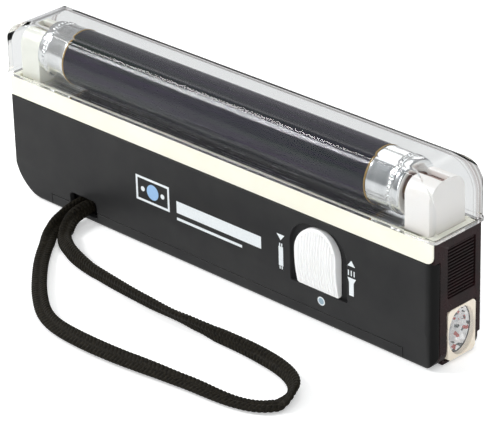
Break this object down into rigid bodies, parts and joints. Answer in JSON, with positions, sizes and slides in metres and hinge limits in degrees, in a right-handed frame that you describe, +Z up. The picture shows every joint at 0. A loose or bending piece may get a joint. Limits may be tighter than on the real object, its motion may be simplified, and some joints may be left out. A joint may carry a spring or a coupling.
{
  "type": "counterfeit bill detector",
  "caption": "Handheld ultraviolet banknote checker with a dark lamp tube under a clear cover, slide switch, torch window at one end and a braided wrist strap.",
  "frame": {"origin": "middle of the footprint of the checker without its strap, on the surface that it stands on", "axes": "+X along the case towards the torch end, -Y out of the switch side, +Z up towards the clear cover"},
  "size_m": [0.1616, 0.0725, 0.0548],
  "materials": {
    "case_black": "satin gloss",
    "cream_plastic": "satin",
    "white_plastic": "satin",
    "switch_white": "satin",
    "clear_plastic": "clear, polished",
    "lamp_glass": "polished dark filter glass",
    "bulb_glass": "clear",
    "cap_aluminium": "satin",
    "bright_metal": "bright rolled",
    "screw_steel": "plated",
    "spring_steel": "nickel plated",
    "contact_bronze": "satin",
    "mirror_finish": "vacuum-metallised",
    "board": "paper laminate",
    "ferrite": "matte",
    "winding": "enamelled wire",
    "capacitor_sleeve": "sleeved",
    "chip_black": "matte",
    "resistor_body": "lacquered",
    "cell_jacket": "printed jacket",
    "wire_red": "insulated",
    "wire_white": "insulated",
    "strap_black": "flat braid"
  },
  "bodies": {
    "case": {"front_shell": "case_black", "rear_shell": "case_black", "case_screws": "screw_steel", "lamp_tray": "cream_plastic", "reflector": "bright_metal", "lampholder_left": "white_plastic", "lampholder_right": "white_plastic", "holder_contacts": "contact_bronze", "slide_switch": "bright_metal", "circuit_board": "board", "transformer_core": "ferrite", "transformer_winding": "winding", "capacitor": "capacitor_sleeve", "transistor": "chip_black", "resistors": "resistor_body", "battery_cell_1": "cell_jacket", "battery_cell_2": "cell_jacket", "battery_cell_3": "cell_jacket", "battery_cell_4": "cell_jacket", "battery_springs": "spring_steel", "battery_contacts": "spring_steel", "torch_housing": "case_black", "torch_bezel": "cream_plastic", "torch_reflector": "mirror_finish", "torch_lens": "clear_plastic", "torch_bulb": "bulb_glass", "torch_bulb_base": "contact_bronze", "torch_socket": "chip_black", "strap_bar": "screw_steel", "wire_battery": "wire_red", "wire_lamp_left": "wire_white", "wire_lamp_right": "wire_white", "wire_torch": "wire_red", "wrist_strap": "strap_black"},
    "lamp": {"tube_glass": "lamp_glass", "tube_cap_left": "cap_aluminium", "tube_cap_right": "cap_aluminium", "tube_end_discs": "chip_black", "tube_pins": "contact_bronze", "cathodes": "spring_steel", "rotor_left": "white_plastic", "rotor_right": "white_plastic"},
    "cover": {"clear_cover": "clear_plastic"},
    "door": {"battery_door": "case_black"},
    "switch": {"switch_pad": "switch_white", "switch_lever": "chip_black"}
  },
  "joints": [
    {"name": "cover_lift", "type": "slide", "parent": "case", "child": "cover", "axis": [0, 0, 1], "range_m": [0, 0.025]},
    {"name": "door_slide", "type": "slide", "parent": "case", "child": "door", "axis": [-1, 0, 0], "range_m": [0, 0.085]},
    {"name": "switch_slide", "type": "slide", "parent": "case", "child": "switch", "axis": [1, 0, 0], "range_m": [-0.0024, 0.0024]},
    {"name": "lamp_turn", "type": "hinge", "parent": "case", "child": "lamp", "pos_m": [0, 0, 0.0453], "axis": [1, 0, 0], "range_deg": [0, 90]}
  ]
}
